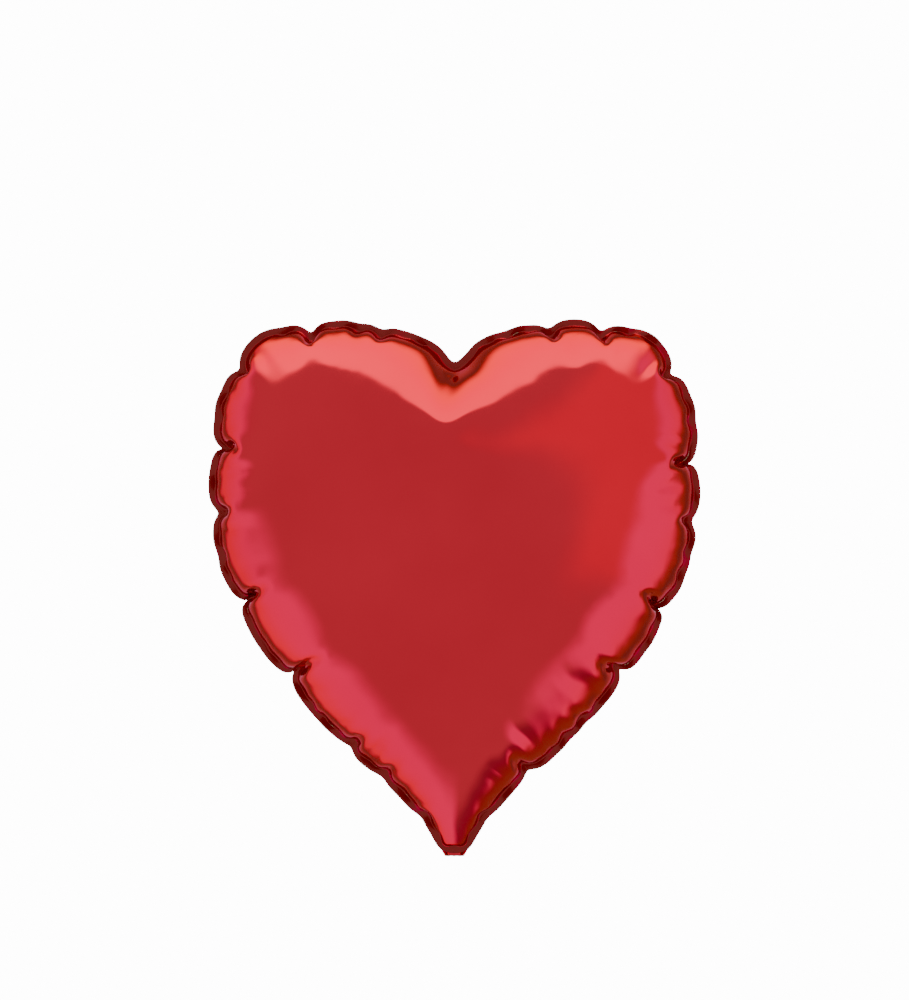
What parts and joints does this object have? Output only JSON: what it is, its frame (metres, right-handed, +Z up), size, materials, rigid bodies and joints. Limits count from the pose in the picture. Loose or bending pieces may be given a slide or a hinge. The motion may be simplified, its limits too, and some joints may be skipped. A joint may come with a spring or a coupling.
{
  "type": "heart-shaped foil balloon",
  "caption": "Inflated heart-shaped metallised film balloon with a puckered heat-sealed rim, folded filling neck and inner self-sealing flap valve.",
  "frame": {"origin": "tie point at the heart's tip, where the neck creases", "axes": "+X to the right across the lobes, +Y to the back, +Z up from the tip to the lobes"},
  "size_m": [0.3592, 0.214, 0.3911],
  "materials": {
    "red_foil": "mirror-gloss metallic red",
    "red_foil_back": "mirror-gloss metallic red",
    "sealant_layer": "silver, satin",
    "valve_film": "milky, satin",
    "release_ink": "matte"
  },
  "bodies": {
    "envelope": {"front_film": "red_foil", "front_sealant": "sealant_layer", "back_film": "red_foil_back", "back_sealant": "sealant_layer"},
    "neck": {"neck_front_film": "red_foil", "neck_back_film": "red_foil_back", "neck_valve_front_ply": "valve_film", "neck_valve_back_ply": "valve_film"},
    "valve_back": {"valve_back_ply": "valve_film", "valve_release_coat": "release_ink"},
    "valve_front": {"valve_front_ply": "valve_film"}
  },
  "joints": [
    {"name": "neck_fold", "type": "hinge", "parent": "envelope", "child": "neck", "pos_m": [0, 0, -0.0025], "axis": [-1, 0, 0], "range_deg": [0, 248]},
    {"name": "valve_swing", "type": "hinge", "parent": "envelope", "child": "valve_back", "pos_m": [0, 0, 0.003], "axis": [1, 0, 0], "range_deg": [-5, 5], "stiffness_Nm_per_rad": 0.0002},
    {"name": "valve_open", "type": "hinge", "parent": "valve_back", "child": "valve_front", "pos_m": [0, 0, 0.003], "axis": [1, 0, 0], "range_deg": [0, 4], "stiffness_Nm_per_rad": 0.0001}
  ]
}
